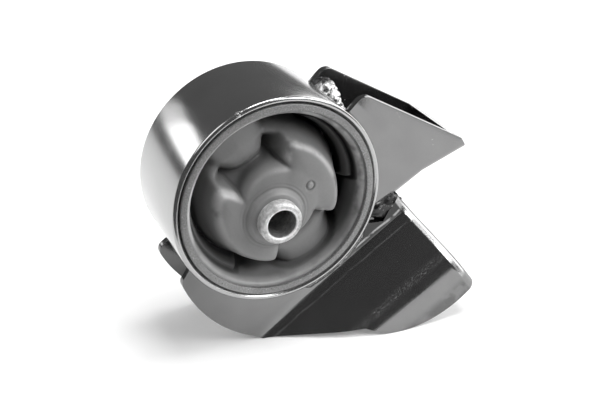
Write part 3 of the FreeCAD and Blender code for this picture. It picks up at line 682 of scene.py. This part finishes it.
def ease_joggle(piece):
    """Open the joggle's two bends to larger radii, after cutting the sheet into narrow strips."""
    bpy.context.view_layer.update()
    held = piece.evaluated_get(bpy.context.evaluated_depsgraph_get())
    mesh = bpy.data.meshes.new_from_object(held)
    piece.modifiers.clear()
    piece.data = mesh
    work = bmesh.new()
    work.from_mesh(mesh)
    away = np.array([math.sin(JOGGLE_TURN), 0, -math.cos(JOGGLE_TURN)])
    axis = np.array([SHELL_X, 0, SHELL_Z])
    for run in np.arange(CUT_START, CUT_END, CUT_STEP):
        bmesh.ops.bisect_plane(work, geom=work.verts[:] + work.edges[:] + work.faces[:],
                               plane_co=(axis + away * run).tolist(), plane_no=away.tolist())
    spots = np.array([vertex.co for vertex in work.verts])
    run = (spots - axis) @ away
    face = PLATE_FRONT - joggle_depth(run, (0, 0), (JOGGLE_RADIUS, JOGGLE_RADIUS))
    eased = PLATE_FRONT - joggle_depth(run, (EASY_START_SHIFT, EASY_END_SHIFT),
                                       (EASY_START_RADIUS, EASY_END_RADIUS))
    behind = spots[:, 1] - face
    share = np.clip((PLATE_BACK - SHEET - spots[:, 1]) / (PLATE_BACK - SHEET - face), 0, 1)
    moved = spots[:, 1] + (eased - face) * np.where(behind < SHEET_REACH, 1, share)
    moved = np.where(np.abs(behind) < ON_FACE, eased, moved)
    for vertex, y in zip(work.verts, moved):
        vertex.co.y = y
    bmesh.ops.recalc_face_normals(work, faces=work.faces)
    work.to_mesh(mesh)
    work.free()
    mesh.shade_smooth()
    mesh.set_sharp_from_angle(angle=math.radians(40))
    # flat faces stay flat in their shading where they meet the rounded edges
    level = piece.modifiers.new("flat_shading", "WEIGHTED_NORMAL")
    level.keep_sharp, level.weight = True, 90
    return piece


upper = folded_sheet("upper_channel", "upper_bracket")
finish_piece(upper, "upper_bracket", UPPER_PAINT)
lower = ease_joggle(folded_sheet("lower_channel", "lower_bracket"))
finish_piece(lower, "lower_bracket", LOWER_PAINT)


# ------------------------------------------------------------------ weld beads
BEAD_LEG, RIPPLE, BEAD_PITCH, POINTS_PER_DEGREE = 3.0 * MM, 0.22, 2.6 * MM, 2.2
# the size left at a bead's two ends, and how deep its root lies in the corner
BEAD_TIP, BEAD_ROOT = 0.02 * MM, 0.6 * MM


def make_bead(name, path, side_a, side_b, rise, ripple, seed, swell):
    """A rippled bead along a path: a fan of points about the corner, lifted by the ripple.

    The section is a quarter ellipse of the leg and the rise; its size follows
    1 + ripple * |sin(pi * run / pitch)| and slow noise, and closes to a point at each end.
    The swell scales the size from one end to the other.
    """
    rng = np.random.default_rng(seed)
    steps = np.linalg.norm(np.diff(path, axis=0), axis=1)
    run = np.concatenate([[0], np.cumsum(steps)])
    length = run[-1]
    slow = np.interp(run, np.linspace(0, length, 12), rng.normal(0, 0.10, 12))
    wave = np.abs(np.sin(math.pi * run / BEAD_PITCH + rng.normal(0, 0.3)))
    ends = np.clip(np.minimum(run, length - run) / BEAD_LEG, 0, 1) ** 0.5
    grown = np.interp(run, (0, length), swell)
    size = BEAD_LEG * grown * (1 + ripple * wave + slow) * ends + BEAD_TIP
    fan = np.linspace(-0.12, 1.12, 11)[None, :, None] * (math.pi / 2)
    bulge = 1.0 + 0.18 * np.sin(2 * np.clip(fan, 0, math.pi / 2))
    arc = size[:, None, None] * bulge * (np.cos(fan) * side_a[:, None]
                                         + rise / BEAD_LEG * np.sin(fan) * side_b[:, None])
    points = path[:, None] + arc
    root = path[:, None] - BEAD_ROOT * (side_a + side_b)[:, None]
    points = np.concatenate([points, root], axis=1)
    rows, columns = points.shape[:2]
    faces = [list(f) for f in grid_faces(rows, columns)]
    faces += [list(range(columns)), list(range((rows - 1) * columns, rows * columns))]
    return make_mesh(name, points.reshape(-1, 3), faces, 70)


def ring_bead(node, plate_y, toward, first, last, rise, ripple, seed, swell, paint):
    """A bead round the shell against a plate's face, between two angles."""
    count = max(60, int(abs(last - first) * POINTS_PER_DEGREE))
    angle = np.radians(np.linspace(first, last, count))
    out = np.stack([np.cos(angle), 0 * angle, np.sin(angle)], axis=-1)
    centre = np.array([SHELL_X, plate_y, SHELL_Z])
    axial = np.tile([0.0, toward, 0.0], (len(angle), 1))
    bead = make_bead(node.replace("weld", "bead"), centre + SHELL_R * out, out, axial, rise,
                     ripple, seed, swell)
    finish_piece(bead, node, paint)


def ring_span(node):
    """First and last angle about the shell's axis of a frame node's points."""
    spots = np.array([v.co for v in nodes[node].data.vertices])
    angle = np.degrees(np.arctan2(spots[:, 2] - SHELL_Z, spots[:, 0] - SHELL_X))
    # a bead past the half turn at 180 degrees is counted on from below it
    if angle.max() - angle.min() > 200:
        angle = np.where(angle > 90, angle - 360, angle)
    return angle.min(), angle.max()


EVEN, TOP_HEAVY = (1, 1), (0.8, 1.7)
for number, (node, plate_y, toward, rise, ripple, swell, paint) in enumerate((
        ("weld_upper_front", PLATE_FRONT + SHEET, 1, BEAD_LEG, RIPPLE, EVEN, WELD_PAINT),
        ("weld_upper_rear", PLATE_BACK - SHEET, -1, 1.15 * BEAD_LEG, 0.3, TOP_HEAVY, BRIGHT_BEAD),
        ("weld_lower_front", PLATE_FRONT + SHEET, 1, BEAD_LEG, RIPPLE, EVEN, WELD_PAINT),
        ("weld_lower_rear", PLATE_BACK - SHEET, -1, BEAD_LEG, RIPPLE, EVEN, WELD_PAINT),
        ("weld_lower_face", PLATE_FRONT, -1, 1.2 * MM, 0.04, EVEN, WELD_PAINT))):
    ring_bead(node, plate_y, toward, *ring_span(node), rise, ripple, number + 3, swell, paint)


def lumpy_bead(node, centre, reach, seed, rings=48, columns=64):
    """A lumpy blob about a centre: an ellipsoid swollen by a few waves.

    Its radius is 1 + the sum of 0.035 * cos(k . direction + phase) over twelve random k.
    """
    rng = np.random.default_rng(seed)
    fall = np.linspace(0, math.pi, rings)[:, None]
    turn = np.linspace(0, TURN, columns, endpoint=False)[None]
    ball = np.stack([np.sin(fall) * np.cos(turn), np.sin(fall) * np.sin(turn),
                     np.cos(fall) + 0 * turn], axis=-1)
    swell = 1 + sum(0.035 * np.cos(ball @ rng.normal(0, 6, 3) + rng.uniform(0, TURN))
                    for _ in range(12))
    points = np.array(centre) + ball * swell[..., None] * np.array(reach)
    faces = grid_faces(rings, columns)
    bead = make_mesh(node.replace("weld", "bead"), points.reshape(-1, 3), faces, 80)
    finish_piece(bead, node, DARK_BEAD)


APEX_SPOT = (53.5 * MM, PLATE_FRONT + 3.2 * MM, -10 * MM)
lumpy_bead("weld_apex", APEX_SPOT, (7.5 * MM, 3.2 * MM, 6.8 * MM), 5)


# ------------------------------------------------------------------ floor, lights and camera
def stage_plane(name, centre, across, up, width, height):
    """A flat panel: centre plus or minus half its width across and half its height up."""
    across, up, centre = (np.array(v, float) for v in (across, up, centre))
    corners = [centre + a * across * width / 2 + b * up * height / 2
               for a, b in ((-1, -1), (1, -1), (1, 1), (-1, 1))]
    mesh = bpy.data.meshes.new(name)
    mesh.from_pydata([c.tolist() for c in corners], [], [(0, 1, 2, 3)])
    panel = bpy.data.objects.new(name, mesh)
    bpy.context.scene.collection.objects.link(panel)
    return panel


# distances from the object, in metres, between which the floor turns white to the camera
WHITER_FROM, WHITER_TO = 0.4, 1.5


def floor_paint():
    """Pale diffuse floor that the camera sees lighter, more so farther off."""
    made = bpy.data.materials.new("pale_floor")
    made.use_nodes = True
    kit = Kit(made.node_tree)
    diffuse = kit.node("BsdfDiffuse", Color=0.86)
    seen = kit.node("LightPath")
    mirrored = Wire(kit, seen.socket.node.outputs["Is Glossy Ray"])
    x, y, _ = axes(kit)
    far = ((x * x + y * y) ** 0.5).between(WHITER_FROM, WHITER_TO)
    glow = kit.node("Emission", Color=1.0,
                    Strength=seen * (0.15 + 0.75 * far) + mirrored * 0.25)
    kit.node("OutputMaterial", i0=kit.node("AddShader", i0=diffuse, i1=glow))
    return made


def floor_sheet(name, corner, turn, ahead, beside, size, paint):
    """A square sheet, its middle ahead of a spot along a bearing and beside it to the right."""
    forward = np.array([math.sin(turn), math.cos(turn), 0])
    sideways = np.array([math.cos(turn), -math.sin(turn), 0])
    sheet = stage_plane(name, np.array(corner) + forward * ahead + sideways * beside, sideways,
                        forward, size, size)
    sheet.data.materials.append(paint)


# the floor lies square to the camera, with its near edge a hand's breadth before the object;
# a second sheet lies ahead of the upper plate, to the right of the camera
CAMERA_TURN, CARD_TURN = math.radians(24.6), math.radians(150)
FLOOR_SIZE, NEAR_EDGE = 9.0, 0.12
CARD_SPOT, CARD_SIZE, CARD_AHEAD, CARD_BESIDE = (0.08, -0.02, FLOOR_Z - 0.2 * MM), 0.52, 0.36, -0.13
PALE_FLOOR = floor_paint()
floor_sheet("floor", (0, 0, FLOOR_Z), CAMERA_TURN, FLOOR_SIZE / 2 - NEAR_EDGE, 0, FLOOR_SIZE,
            PALE_FLOOR)
floor_sheet("front_sheet", CARD_SPOT, CARD_TURN, CARD_AHEAD, CARD_BESIDE, CARD_SIZE, PALE_FLOOR)


def soft_light(name, azimuth, elevation, distance, width, height, radiance):
    """A rectangular lamp facing the object, at a bearing in degrees from +Y towards +X.

    Its power is radiance * pi * width * height.
    """
    turn, lift = math.radians(azimuth), math.radians(elevation)
    away = np.array([math.sin(turn) * math.cos(lift), math.cos(turn) * math.cos(lift),
                     math.sin(lift)])
    lamp = bpy.data.lights.new(name, "AREA")
    lamp.shape, lamp.size, lamp.size_y = "RECTANGLE", width, height
    lamp.energy = radiance * math.pi * width * height
    held = bpy.data.objects.new(name, lamp)
    held.location = away * distance
    held.rotation_euler = (math.pi / 2 - lift, 0, math.pi - turn)
    bpy.context.scene.collection.objects.link(held)


# each lamp's bearing and elevation in degrees, its distance, width and height, and its radiance
soft_light("side_box", 71, 20, 1.6, 2.1, 1.5, 2.9)
soft_light("back_strip", -36, 15, 1.6, 0.56, 0.42, 3.3)
soft_light("back_glow", -21.5, 13.5, 1.6, 0.23, 0.34, 1.3)
soft_light("overhead", 90, 80, 1.4, 0.7, 0.7, 9.0)
soft_light("front_right", 135, 34, 1.5, 0.8, 0.8, 6.0)
soft_light("left_fill", -95, 48, 1.5, 0.9, 0.8, 3.0)

world = bpy.data.worlds.new("studio")
bpy.context.scene.world = world
world.use_nodes = True
sky = Kit(world.node_tree)
seen = sky.node("LightPath")
sky.node("OutputWorld", i0=sky.node("Background", Color=1.0, Strength=seen * 0.90 + 0.10))

CAMERA_SPOT, CAMERA_DIP = (-0.1426, -0.3574, 0.2020), math.radians(28.1)
LENS, SENSOR = 62.3, 36.0
camera = bpy.data.cameras.new("camera")
camera.lens, camera.sensor_width = LENS, SENSOR
held = bpy.data.objects.new("camera", camera)
held.location = CAMERA_SPOT
held.rotation_euler = (math.pi / 2 - CAMERA_DIP, 0, -CAMERA_TURN)
bpy.context.scene.collection.objects.link(held)
bpy.context.scene.camera = held
bpy.context.scene.view_settings.view_transform = "Standard"
